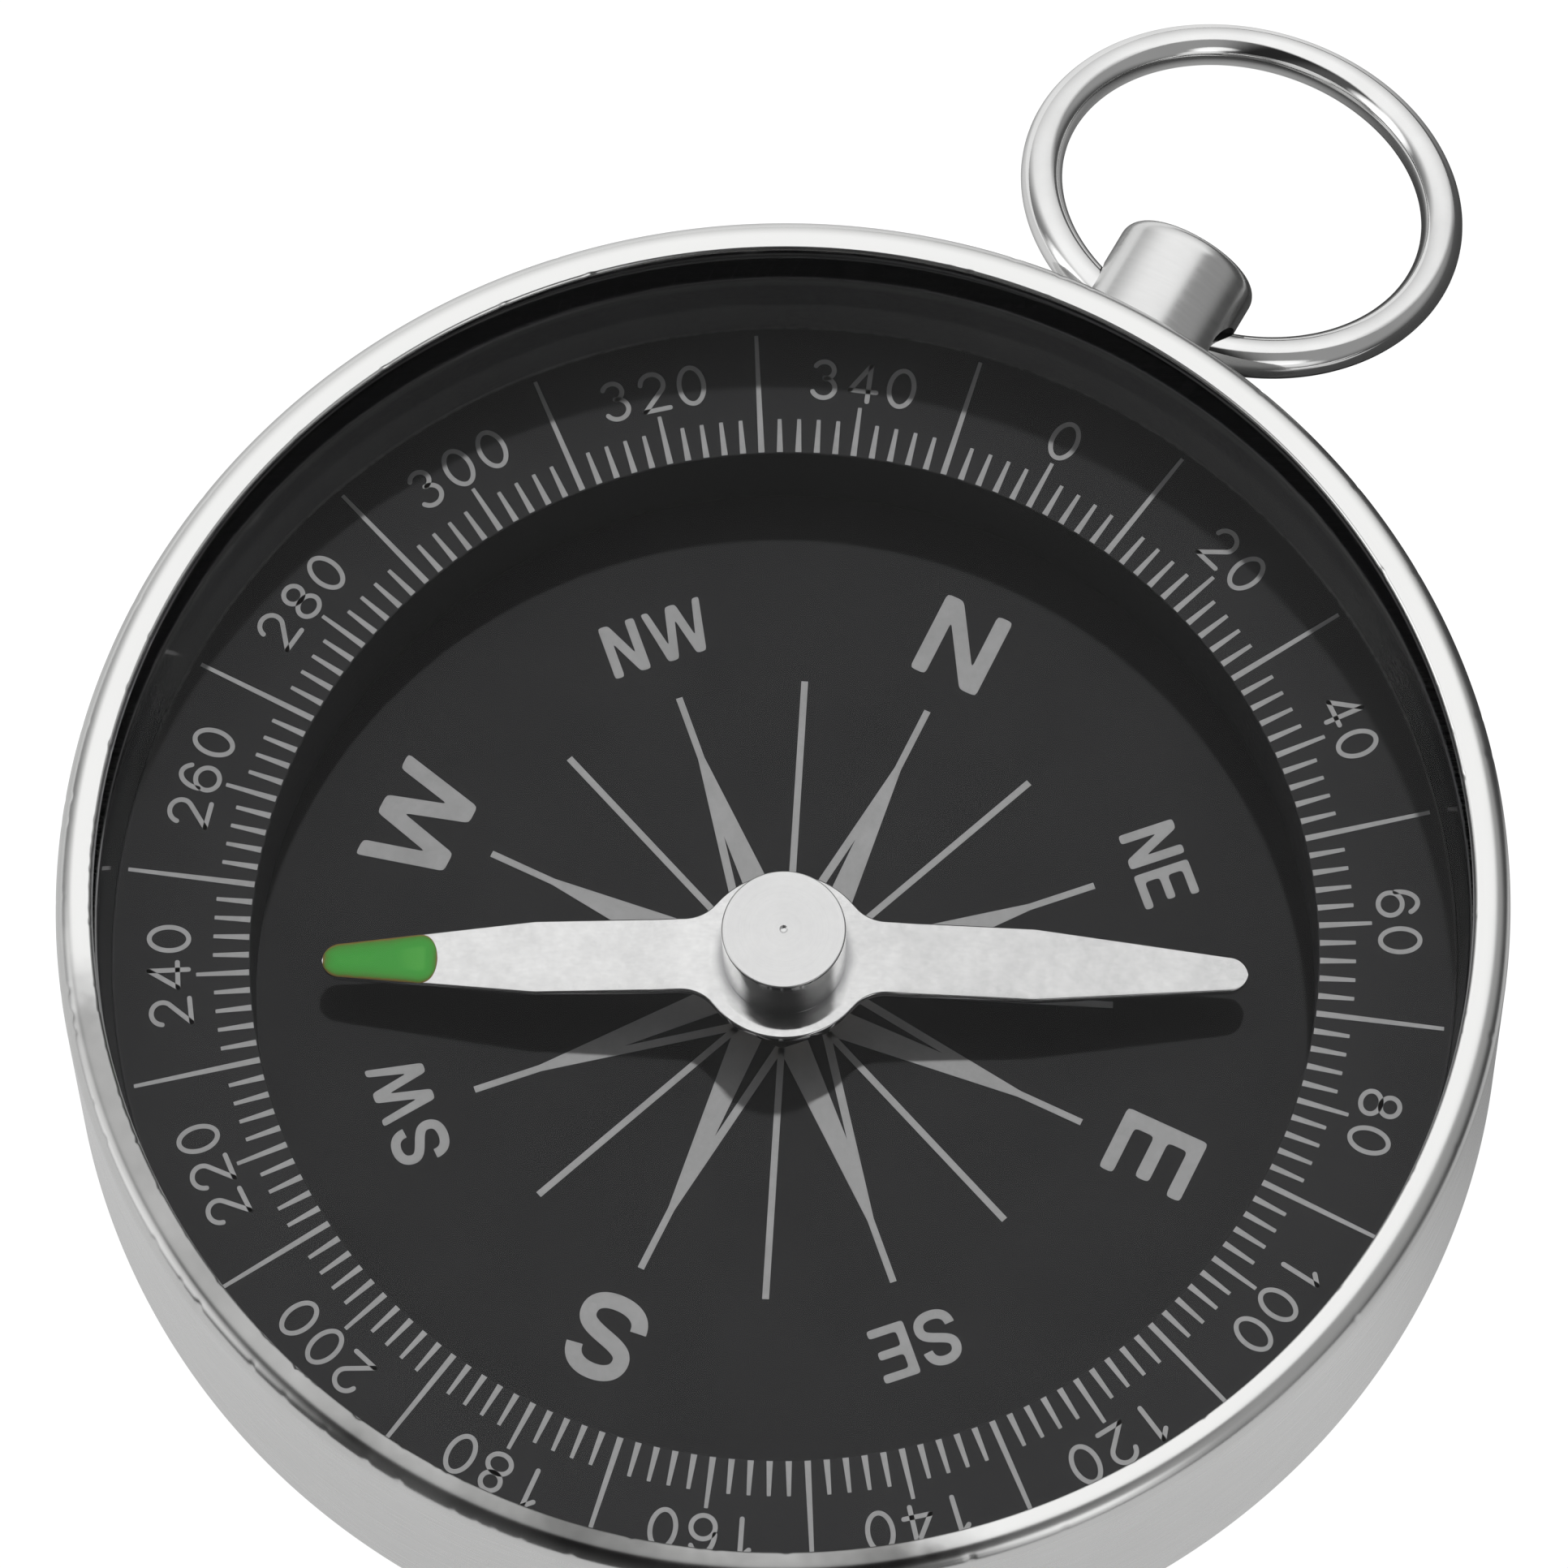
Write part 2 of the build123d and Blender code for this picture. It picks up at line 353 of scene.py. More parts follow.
def lensEdgeFinish():
    # the lens's dull grey edge under the lip, made opaque as a painted shade standing for the dark band there
    f = FinishWeb("darkLensEdge", (0.008, 0.008, 0.009), 0.3)
    marks = f.grain(5200, 2, place=f.stretched((0.1, 0.1, 1)))
    shade = f.tinted(marks, (0.35, 0.22, 0.222), (0.7, 0.28, 0.282))
    return f.give(Base_Color=shade, Roughness=f.spread(marks, 0.25, 0.4))


def needleFinish():
    # satin nickel strip: fine grain lengthwise, a faint mottle, one arm a little darker as painted shade, and a
    # painted contact shadow round the hub's foot
    f = FinishWeb("satinNeedle", (0.80, 0.80, 0.80), 0.36, 1.0)
    turn = needleBearing - 90
    mottle, speckle = f.grain(700, 4, 0.6), f.grain(3000, 3, 0.6)
    fine = f.grain(11000, 3, 0.6, f.stretched((0.35, 1, 1), place=f.stretched(turn=turn)))
    # painted shade: one arm is coloured a little darker, standing for the shade on a slightly tilted arm
    tone = f.remap(f.axes(turn)["X"], -0.003, 0.006, 0.08, -0.04, soft=True)
    tone = f.plus(tone, f.mixed((mottle, 0.35), (speckle, 0.3), (fine, 0.2)))
    # painted contact shadow: the colour darkens close round the hub's foot
    tone = f.times(tone, f.mask(f.radius(), 0.00188, 0.0023))
    arms = f.remap(f.radius(), 0.0024, 0.0040, 0.08, 0.24, soft=True)
    return f.give(Base_Color=f.tinted(tone, (0.0, 0.38, 0.385), (0.25, 0.62, 0.62), (0.65, 0.86, 0.855)),
                  Roughness=f.plus(arms, f.spread(fine, -0.02, 0.03)),
                  Normal=f.bump(f.plus(f.times(fine, 0.4), mottle), 0.06, 0.01))


def hubFinish():
    # turned steel: satin top with faint rings, polished side
    f = FinishWeb("turnedHub", (0.82, 0.82, 0.82), 0.3, 1.0)
    height = f.axes()["Z"]
    top = f.remap(height, 0.00580, 0.00584, 0, 1)
    rings = f.grain(14000, place=f.vector(f.radius(), 0, height))
    mottle = f.grain(900, 4, 0.6)
    tone = f.mixed((mottle, 0.7), (rings, 0.3))
    return f.give(Base_Color=f.tinted(tone, (0.3, 0.73, 0.73), (0.7, 0.90, 0.895)), Normal=f.bump(rings, 0.08, 0.008),
                  Roughness=f.between(top, f.spread(rings, 0.05, 0.13), f.spread(mottle, 0.30, 0.40)))


def stemFinish():
    # satin plate with turning marks round the stem
    f = FinishWeb("satinStem", (0.70, 0.70, 0.695), 0.3, 1.0)
    marks = f.grain(9000, 2, place=f.stretched((0.08, 1, 0.08)))
    tone = f.mixed((marks, 0.4), (f.grain(600), 0.6))
    return f.give(Base_Color=f.tinted(tone, (0.3, 0.78, 0.775), (0.7, 0.86, 0.855)),
                  Roughness=f.spread(marks, 0.2, 0.25), Normal=f.bump(marks, 0.03, 0.004))


def wireFinish():
    # bright plated wire with light wear
    f = FinishWeb("brightWire", (0.86, 0.86, 0.855), 0.08, 1.0)
    cloud = f.grain(500, 4, 0.6)
    relief = f.plus(f.grain(5200, 3, 0.65), cloud)
    return f.give(Base_Color=f.tinted(cloud, (0.3, 0.86, 0.855), (0.7, 0.94, 0.935)),
                  Roughness=f.spread(cloud, 0.04, 0.09), Normal=f.bump(relief, 0.06, 0.012))


def paintFinish():
    # green enamel: brown where it thins at its edge, paler towards the hub
    f = FinishWeb("greenEnamel", (0.07, 0.38, 0.065), 0.4)
    edge = f.node("ShaderNodeAttribute")
    edge.attribute_name = "fromEdge"
    blot = f.grain(1500, 4, 0.6)
    pale = f.remap(f.radius(), 0.0122, 0.0110, 1, 1.35, soft=True)
    band = f.times(f.remap(edge.outputs["Fac"], 0, 1, 0, 0.75), pale)
    band = f.plus(band, f.spread(blot, -0.06, 0.06))
    shade = f.tinted(band, (0.04, 0.22, 0.15, 0.04), (0.15, 0.085, 0.27, 0.04), (0.41, 0.068, 0.36, 0.052),
                     (0.75, 0.066, 0.395, 0.058), (1.0, 0.1, 0.46, 0.076))
    return f.give(Base_Color=shade, Roughness=f.spread(blot, 0.34, 0.5), Specular_IOR_Level=0.35,
                  Normal=f.bump(blot, 0.2, 0.02))


def turnedFinish(name, low, high, roughness):
    # small turned parts under the needle
    f = FinishWeb(name, high, roughness, 1.0)
    marks = f.grain(16000, 2, place=f.stretched((0.2, 0.2, 1)))
    return f.give(Base_Color=f.tinted(marks, (0.3, *low), (0.7, *high)),
                  Roughness=f.spread(marks, roughness * 0.8, roughness * 1.3))


platedCase = caseFinish()
darkCard = cardFinish()
blackPlastic = ringPlasticFinish()
degreeInk = inkFinish("degreeInk", 0.38, 0.47)
roseInk = inkFinish("roseInk", 0.38, 0.465)
clearLens = lensFinish()
darkLensEdge = lensEdgeFinish()
satinNeedle = needleFinish()
turnedHub = hubFinish()
satinStem = stemFinish()
brightWire = wireFinish()
greenEnamel = paintFinish()
print("finishes:", len(bpy.data.materials))


# Case: one pressed cup, its top edge rolled in over the lens

caseCup = {"radius": 22.0, "height": 9.6, "sheet": 0.35, "lipRadius": 20.9, "rimBend": 0.7, "footBend": 0.6,
           "lipEdge": 0.12, "lipUnder": 0.05, "floorBend": 0.1, "segments": 1320, "seed": 11, "nicks": 110,
           "nickDepth": 0.028, "nickReach": 0.12, "nickBearing": (215, 30), "nickWidth": (0.1, 0.22),
           "nickShare": (0.3, 1), "innerNicks": 0.6, "innerLine": 0.03, "outerLine": 0.12}


def makeCase(s):
    wall, top, sheet, lip = s["radius"], s["height"], s["sheet"], s["lipRadius"]
    bore, under = wall - sheet, top - sheet
    outline = softProfile([
        (0, 0, 0), (wall, 0, s["footBend"]), (wall, top, s["rimBend"]), (lip, top, s["lipEdge"]),
        (lip, under, s["lipUnder"]), (bore, under, 0), (bore, sheet, s["floorBend"]), (0, sheet, 0)])
    mesh = latheMesh("caseCup", outline, s["segments"])
    # small nicks along the lip's inner edge and the outer bend, more of them on one side
    pick = random.Random(s["seed"])
    nicks = [(pick.gauss(*s["nickBearing"]) if k % 2 else pick.uniform(0, 360), pick.uniform(*s["nickWidth"]),
              pick.uniform(*s["nickShare"]), pick.random() < s["innerNicks"]) for k in range(s["nicks"])]
    for v in mesh.vertices:
        x, y, z = (c / mm for c in v.co)
        r = hypot(x, y)
        if z < top - s["rimBend"] or r < lip - 0.01:
            continue
        bearing = degrees(atan2(x, y)) % 360
        for at, width, deep, inner in nicks:
            gap = ((bearing - at + 180) % 360 - 180) * radians(1) * r
            if abs(gap) > 2 * width:
                continue
            near = r - (lip + s["innerLine"] if inner else wall - s["outerLine"])
            dent = s["nickDepth"] * deep * exp(-(gap / width * 2) ** 2 - (near / s["nickReach"]) ** 2)
            out = dent if inner else -dent
            v.co.z -= dent * mm
            v.co.x += out * x / r * mm
            v.co.y += out * y / r * mm
    return setPiece("caseCup", settle(mesh), platedCase)


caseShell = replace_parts(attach(makeCase(caseCup), "case"), "case")
print("case cup:", len(caseShell.data.polygons), "faces")


# Card, degree ring and lens inside the case

dialWorks = {"cardRadius": 21.6, "cardFoot": 0.35, "cardTop": 0.5, "bushHole": 1.45, "opening": 16.35, "ledge": 4.05,
             "wall": 1.0, "sleeveFoot": 20.6, "sleeveTopRadius": 20.8, "sleeveTop": 7.35, "lensTop": 9.25,
             "lensClear": 20.86, "lensSoft": 0.06, "segments": 360}


def makeCard(s):
    hole, outer, top, foot = s["bushHole"], s["cardRadius"], s["cardTop"], s["cardFoot"]
    corners = [(hole, top, 0.02), (outer, top, 0.03), (outer, foot, 0.03), (hole, foot, 0.02)]
    return lathePiece("dialCard", corners, s["segments"], darkCard, closed=True)


def makeDegreeRing(s):
    inner, outer, ledge, under = s["opening"], s["cardRadius"], s["ledge"], s["ledge"] - s["wall"]
    corners = [(inner, s["cardTop"], 0.03), (inner, ledge, 0.06), (s["sleeveFoot"], ledge, 0.08),
               (s["sleeveTopRadius"], s["sleeveTop"], 0.12), (outer, s["sleeveTop"], 0.05), (outer, under, 0.1),
               (inner + s["wall"], under, 0.1), (inner + s["wall"], s["cardTop"], 0.03)]
    return lathePiece("degreeRing", corners, s["segments"], blackPlastic, closed=True)


def makeLens(s):
    outer, foot, top, soft, edge = s["cardRadius"], s["sleeveTop"], s["lensTop"], s["lensSoft"], s["lensClear"]
    outline = [Vector(p) for p in ((0, foot), (edge * 0.5, foot), (edge, foot))]
    outline += softProfile([(edge, foot, 0), (outer, foot, soft), (outer, top, soft), (edge, top, 0)])[1:]
    outline += [Vector((edge * 0.5, top)), Vector((0, top))]
    mesh = settle(latheMesh("lens", outline, s["segments"]))
    piece = setPiece("lensDisc", mesh, clearLens, darkLensEdge)
    # painted shade: the faces under the lip take the opaque edge finish instead of clear acrylic
    for face in mesh.polygons:
        if hypot(face.center.x, face.center.y) > edge * mm:
            face.material_index = 1
    return piece


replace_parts(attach(makeCard(dialWorks), "case"), "dial_card")
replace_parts(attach(makeDegreeRing(dialWorks), "case"), "degree_ring")
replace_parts(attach(makeLens(dialWorks), "case"), "lens")
print("card, degree ring and lens set")


# Geometry Nodes for what repeats

def startTree(name, count, numbers):
    # takes a mesh, a count, numbers and an ink
    tree = bpy.data.node_groups.new(name, "GeometryNodeTree")
    floats = [(label, "Float") for label in numbers]
    for label, kind in [("Geometry", "Geometry"), (count, "Int"), *floats, ("Ink", "Material")]:
        tree.interface.new_socket(label, in_out="INPUT", socket_type="NodeSocket" + kind)
    tree.interface.new_socket("Geometry", in_out="OUTPUT", socket_type="NodeSocketGeometry")
    given = tree.nodes.new("NodeGroupInput").outputs
    return NodeWeb(tree), given, tree.nodes.new("NodeGroupOutput").inputs["Geometry"]


def endTree(t, instances, ink, out):
    plain = t.node("GeometryNodeRealizeInstances", Geometry=instances).outputs["Geometry"]
    t.put(out, t.node("GeometryNodeSetMaterial", Geometry=plain, Material=ink).outputs["Geometry"])
    return t.tree


def runTree(name, mesh, tree, values):
    piece = setPiece(name, mesh)
    work = piece.modifiers.new(tree.name, "NODES")
    work.node_group = tree
    for item in tree.interface.items_tree:
        if item.in_out == "INPUT" and item.name in values:
            work[item.identifier] = values[item.name]
    return setPiece(name, plainCopy(piece))


def spin(t, count, turn):
    # number, angle and rotation of each of the copies about the axis
    index = t.node("GeometryNodeInputIndex").outputs["Index"]
    angle = t.plus(t.times(index, t.math("DIVIDE", 2 * pi, count)), turn)
    lean = t.vector(0.0, 0.0, t.times(angle, -1.0))
    return index, angle, t.node("FunctionNodeEulerToRotation", Euler=lean).outputs["Rotation"]


def tickTree():
    # straight ticks round a circle: every tenth is medium, and the fifth between them is long
    t, given, out = startTree("degreeTicks", "Count", [
        "Inner Radius", "Short", "Medium", "Long", "Width", "Outer Taper", "Height", "Thickness", "Turn"])
    index, angle, lean = spin(t, given["Count"], given["Turn"])
    x, y = (t.times(t.math(way, angle), given["Inner Radius"]) for way in ("SINE", "COSINE"))
    spots = t.vector(x, y, given["Height"])
    points = t.node("GeometryNodePoints", Count=given["Count"], Position=spots).outputs[0]
    size = t.vector(given["Width"], 1.0, given["Thickness"])
    bar = t.node("GeometryNodeMeshCube", Size=size).outputs["Mesh"]
    bar = t.node("GeometryNodeTransform", Geometry=bar, Translation=(0.0, 0.5, 0.0)).outputs["Geometry"]
    at = t.parts(t.node("GeometryNodeInputPosition").outputs["Position"])
    narrow = t.minus(1.0, t.times(at["Y"], t.minus(1.0, given["Outer Taper"])))
    tapered = t.vector(t.times(at["X"], narrow), at["Y"], at["Z"])
    bar = t.node("GeometryNodeSetPosition", Geometry=bar, Position=tapered).outputs["Geometry"]
    place = t.math("MODULO", index, 10.0)
    isMedium, isLong = t.math("LESS_THAN", place, 0.5), t.math("COMPARE", place, 5.0, 0.5)
    length = given["Short"]
    for chosen, label in ((isMedium, "Medium"), (isLong, "Long")):
        length = t.plus(length, t.times(chosen, t.minus(given[label], given["Short"])))
    ticks = t.node("GeometryNodeInstanceOnPoints", Points=points, Instance=bar, Rotation=lean,
                   Scale=t.vector(1.0, length, 1.0)).outputs["Instances"]
    return endTree(t, ticks, given["Ink"], out)


def copiesTree():
    # turned copies of one shape about the card's axis
    t, given, out = startTree("roundCopies", "Copies", ["Turn"])
    lean = spin(t, given["Copies"], given["Turn"])[2]
    points = t.node("GeometryNodePoints", Count=given["Copies"]).outputs[0]
    copies = t.node("GeometryNodeInstanceOnPoints", Points=points, Instance=given["Geometry"], Rotation=lean)
    return endTree(t, copies.outputs["Instances"], given["Ink"], out)


# Print helpers: thin slabs of ink, closed all round, their feet just inside the surface they lie on

inkLayer = {"stand": 0.012, "sink": 0.01, "capAngles": (8, 35, 62)}


def newSheet():
    return {"points": [], "faces": []}


def addLayers(sheet, loop, height):
    # one outline at the top of the ink and again at its foot; gives the number of its first point
    base = len(sheet["points"])
    for z in (height + inkLayer["stand"], height - inkLayer["sink"]):
        sheet["points"] += [(x, y, z) for x, y in loop]
    return base


def addSlab(sheet, loop, height):
    base, count = addLayers(sheet, loop, height), len(loop)
    sheet["faces"].append([base + k for k in range(count)])
    sheet["faces"].append([base + count + k for k in reversed(range(count))])
    for k in range(count):
        n = (k + 1) % count
        sheet["faces"].append([base + k, base + count + k, base + count + n, base + n])


def addRibbon(sheet, path, half, height, closed=False, roundEnds=True):
    # a stroke of even width along a path
    line = [Vector(p) for p in path]
    count = len(line)
    left, right = [], []

    def put(spot, across, wide):
        left.append(spot + across * wide)
        right.append(spot - across * wide)

    def cap(spot, along, across, angles):
        for a in angles:
            put(spot + along * half * cos(radians(a)), across, half * sin(radians(a)))

    for k, spot in enumerate(line):
        back = line[k - 1] if closed or k else spot
        ahead = line[(k + 1) % count] if closed or k < count - 1 else spot
        along = (ahead - back).normalized()
        across = Vector((-along.y, along.x))
        capped = roundEnds and not closed
        if capped and k == 0:
            cap(spot, -along, across, inkLayer["capAngles"])
        put(spot, across, half)
        if capped and k == count - 1:
            cap(spot, along, across, inkLayer["capAngles"][::-1])
    base, n = addLayers(sheet, left + right, height), len(left)
    for k in range(n if closed else n - 1):
        m = (k + 1) % n
        top = [base + k, base + m, base + n + m, base + n + k]
        a, b, c, d = (2 * n + corner for corner in top)
        sheet["faces"] += [top, [d, c, b, a], [top[1], top[0], a, b], [top[3], top[2], c, d]]
    if not closed:
        for k, flip in ((0, False), (n - 1, True)):
            end = [base + k, base + n + k, base + 3 * n + k, base + 2 * n + k]
            sheet["faces"].append(end[::-1] if flip else end)


def turned(loop, radius, bearing):
    # puts a shape drawn upright about its own middle at a radius and bearing, its top outwards
    a = radians(bearing)
    c, s = cos(a), sin(a)
    return [(x * c + (y + radius) * s, -x * s + (y + radius) * c) for x, y in loop]


def arc(cx, cy, rx, ry, start, end, steps):
    angles = [radians(start + (end - start) * k / steps) for k in range(steps + 1)]
    return [(cx + rx * cos(a), cy + ry * sin(a)) for a in angles]


def softLoop(loop, rounding):
    # takes the points off a loop's corners
    made, sideShare = [], 0.3
    for k, here in enumerate(loop):
        p = Vector(here)
        a, b = (p + (q - p).normalized() * min(rounding, (q - p).length * sideShare)
                for q in (Vector(loop[k - 1]), Vector(loop[(k + 1) % len(loop)])))
        made += [tuple(a), tuple((a + b + 2 * p) / 4), tuple(b)]
    return made


def inkPiece(name, sheet, ink):
    return setPiece(name, settle(meshFrom(name, sheet["points"], sheet["faces"])), ink)


# Degree print on the ring's ledge

degreePrint = {"turn": -2.0, "count": 180, "innerRadius": 16.40, "short": 1.10, "medium": 1.62, "long": 3.92,
               "tickWidth": 0.19, "taper": 0.62, "numberStep": 20, "numberRadius": 18.86, "numberHeight": 1.37,
               "pitch": 1.2, "stroke": 0.15}

# strokes of each numeral in a box one unit high
numerals = {
    "0": [("loop", arc(0, 0.5, 0.277, 0.442, 0, 360, 48)[:-1])],
    "1": [("line", [(-0.17, 0.76), (0.02, 0.942)]), ("line", [(0.02, 0.942), (0.02, 0.058)])],
    "2": [("line", arc(-0.005, 0.685, 0.262, 0.257, 172, -38, 26) + [(-0.275, 0.058)]),
          ("line", [(-0.275, 0.058), (0.295, 0.058)])],
    "3": [("line", arc(-0.03, 0.732, 0.222, 0.21, 152, -78, 24)),
          ("line", arc(-0.03, 0.302, 0.262, 0.244, 86, -155, 26))],
    "4": [("line", [(0.13, 0.942), (-0.29, 0.30)]), ("line", [(-0.29, 0.30), (0.31, 0.30)]),
          ("line", [(0.13, 0.942), (0.13, 0.058)])],
    "6": [("line", arc(0.0, 0.5, 0.277, 0.442, 38, 185, 22)),
          ("loop", arc(0.0, 0.328, 0.268, 0.27, 0, 360, 40)[:-1])],
    "8": [("loop", arc(0, 0.727, 0.222, 0.215, 0, 360, 36)[:-1]),
          ("loop", arc(0, 0.285, 0.268, 0.227, 0, 360, 40)[:-1])],
}


def makeDegreePrint(s, top):
    stand, sink = inkLayer["stand"], inkLayer["sink"]
    ticks = runTree("degreeTicks", bpy.data.meshes.new("degreeTicks"), tickTree(), {
        "Count": s["count"], "Inner Radius": s["innerRadius"] * mm, "Short": s["short"] * mm,
        "Medium": s["medium"] * mm, "Long": s["long"] * mm, "Width": s["tickWidth"] * mm, "Outer Taper": s["taper"],
        "Height": (top + (stand - sink) / 2) * mm, "Thickness": (stand + sink) * mm,
        "Turn": radians(s["turn"]), "Ink": degreeInk})
    sheet = newSheet()
    for value in range(0, 360, s["numberStep"]):
        text = str(value)
        for k, sign in enumerate(text):
            along = (k - (len(text) - 1) / 2) * s["pitch"]
            bearing = value + s["turn"] + degrees(along / s["numberRadius"])
            for kind, path in numerals[sign]:
                shape = [(x * s["numberHeight"], (y - 0.5) * s["numberHeight"]) for x, y in path]
                path = turned(shape, s["numberRadius"], bearing)
                addRibbon(sheet, path, s["stroke"] / 2, top, closed=kind == "loop")
    return ticks, inkPiece("degreeNumbers", sheet, degreeInk)


degreeTicks, degreeNumbers = makeDegreePrint(degreePrint, dialWorks["ledge"])
for piece in (degreeTicks, degreeNumbers):
    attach(piece, "case")
print("degree print:", len(degreeTicks.data.polygons), "tick faces,",
      len(degreeNumbers.data.polygons), "number faces")


# Rose and letters on the card

rosePrint = {"turn": -3.6, "copies": 8, "lineTurn": 22.5, "reach": 10.13, "lineHalf": 0.105, "dartStart": 8.0,
             "base": 1.85, "baseHalf": 0.83, "sliverTip": (-0.17, 5.33), "sliverInner": -0.09, "sliverOuter": -0.57,
             "lineBase": 2.0}

bigLetters = {"height": 2.72, "radius": 12.58, "stem": 0.188, "arm": 0.172, "soft": 0.05, "gap": 0,
              "width": {"N": 0.83, "E": 0.78, "S": 0.80, "W": 1.355}}
smallLetters = {"height": 1.78, "radius": 12.26, "stem": 0.168, "arm": 0.155, "soft": 0.06, "gap": 0.13,
                "width": {"N": 0.66, "E": 0.657, "S": 0.70, "W": 1.08}}


def letterLoop(sign, s):
    # outline of a bold letter in a box one unit high, starting at x 0
    w, t, a = s["width"][sign], s["stem"], s["arm"]
    if sign == "E":
        return [(0, 0), (w, 0), (w, a), (t, a), (t, 0.5 - a / 2), (w * 0.91, 0.5 - a / 2), (w * 0.91, 0.5 + a / 2),
                (t, 0.5 + a / 2), (t, 1 - a), (w * 0.985, 1 - a), (w * 0.985, 1), (0, 1)]
    if sign == "N":
        d = t * 1.09
        y = 1 - t / (w - d)
        return [(0, 0), (t, 0), (t, y), (w - d, 0), (w, 0), (w, 1), (w - t, 1), (w - t, 1 - y), (d, 1), (0, 1)]
    # the W is drawn at the big letters' width and stroke
    drawn = bigLetters["width"]["W"]
    k = w / drawn
    b = t / bigLetters["stem"] * k ** 0.3
    spots = [(0, 1), (0.25, 0), (0.487, 0), (0.684, 0.72), (0.899, 0), (1.117, 0), (drawn, 1), (drawn - 0.195 * b, 1),
             (0.9985, 0.327), (0.80, 1), (0.5635, 1), (0.371, 0.296), (0.195 * b, 1)]
    return [(x * k, y) for x, y in spots]


def letterCurve(s):
    # the middle line of the S, from its upper end round to its lower end, drawn 0.78 wide
    drawn, steps = 0.78, 10
    knots = [(0.668, 0.70), (0.655, 0.845), (0.55, 0.926), (0.39, 0.926), (0.22, 0.926), (0.11, 0.845), (0.11, 0.722),
             (0.11, 0.60), (0.20, 0.56), (0.39, 0.505), (0.60, 0.445), (0.69, 0.40), (0.69, 0.275), (0.69, 0.15),
             (0.58, 0.074), (0.395, 0.074), (0.20, 0.074), (0.09, 0.165), (0.085, 0.31)]
    line = []
    for k in range(0, len(knots) - 1, 3):
        a, b, c, d = (Vector(p) for p in knots[k:k + 4])
        for step in range(steps):
            u = step / steps
            line.append(a * (1 - u) ** 3 + b * 3 * u * (1 - u) ** 2 + c * 3 * u * u * (1 - u) + d * u ** 3)
    line.append(Vector(knots[-1]))
    return [(p.x * s["width"]["S"] / drawn, p.y) for p in line]


def addWord(sheet, word, bearing, s, top):
    across = sum(s["width"][sign] for sign in word) + s["gap"] * (len(word) - 1)
    x = -across / 2
    for sign in word:
        path = letterCurve(s) if sign == "S" else softLoop(letterLoop(sign, s), s["soft"])
        shape = turned([((x + u) * s["height"], (v - 0.5) * s["height"]) for u, v in path], s["radius"], bearing)
        if sign == "S":
            addRibbon(sheet, shape, s["stem"] * s["height"] / 2, top, roundEnds=False)
        else:
            addSlab(sheet, shape, top)
        x += s["width"][sign] + s["gap"]


def makeRose(s, top):
    half, wide, reach, start, base, foot = (
        s[k] for k in ("lineHalf", "baseHalf", "reach", "dartStart", "base", "lineBase"))
    dart, line = newSheet(), newSheet()
    addSlab(dart, [(-half, reach), (-half, start), (-wide, base), (s["sliverOuter"], base), s["sliverTip"],
                   (s["sliverInner"], base), (wide, base), (half, start), (half, reach)], top)
    addSlab(line, [(-half, reach), (-half, foot), (half, foot), (half, reach)], top)
    tree = copiesTree()
    pieces = []
    for name, sheet, turn in (("rosePoints", dart, s["turn"]), ("roseLines", line, s["turn"] + s["lineTurn"])):
        mesh = settle(meshFrom(name, sheet["points"], sheet["faces"]))
        pieces.append(runTree(name, mesh, tree, {"Copies": s["copies"], "Turn": radians(turn), "Ink": roseInk}))
    letters = newSheet()
    for k, word in enumerate(("N", "NE", "E", "SE", "S", "SW", "W", "NW")):
        addWord(letters, word, s["turn"] + 45 * k, smallLetters if k % 2 else bigLetters, top)
    return pieces + [inkPiece("roseLetters", letters, roseInk)]


for piece in makeRose(rosePrint, dialWorks["cardTop"]):
    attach(piece, "case")
print("rose and letters set")


# Needle: pressed strip with a raised round middle and drooping arms

blade = {"bearing": needleBearing, "sheet": 0.3, "reach": 14.25, "half": 1.18, "tip": 0.57, "taperStart": 7.7,
         "collar": 2.7, "collarFillet": 1.3, "collarTop": 3.45, "joggleStart": 3.0, "joggleEnd": 4.3,
         "joggleDrop": 0.15, "droop": 0.97, "edge": 0.07, "bore": 1.25, "boreSides": 64, "station": 0.15}


def bladeHalf(x, s):
    # half width of the blade at a distance along it
    x = abs(x)
    half, tip, collar, fillet, taper = (s[k] for k in ("half", "tip", "collar", "collarFillet", "taperStart"))
    rise, span, start = half + fillet, collar + fillet, s["reach"] - tip
    foot = sqrt(span ** 2 - rise ** 2)
    if x < foot * collar / span:
        return sqrt(collar ** 2 - x * x)
    if x < foot:
        return rise - sqrt(fillet ** 2 - (foot - x) ** 2)
    if x < taper:
        return half
    if x < start:
        return half + (tip - half) * (x - taper) / (start - taper)
    return sqrt(max(tip ** 2 - (x - start) ** 2, 0))


def bladeTop(x, s):
    x = abs(x)
    u = min(max((x - s["joggleStart"]) / (s["joggleEnd"] - s["joggleStart"]), 0), 1)
    fall = s["joggleDrop"] * u * u * (3 - 2 * u)
    return s["collarTop"] - fall - s["droop"] * max(x - s["joggleEnd"], 0) / (s["reach"] - s["joggleEnd"])


def onBlade(x, y, z, s):
    a = radians(s["bearing"])
    return x * sin(a) - y * cos(a), x * cos(a) + y * sin(a), z


def bladeStations(s):
    # even steps along the strip, closer round its ends
    start, step, tipGap, lastGap = s["reach"] - s["tip"], s["station"], 0.0004, 0.02
    ends = [start + s["tip"] * sin(radians(a)) for a in range(0, 90, 6)] + [s["reach"] - tipGap]
    ends += [k * step for k in range(int(start / step)) if k * step < start - lastGap]
    return sorted(set(round(side * x, 5) for x in ends for side in (1, -1)))


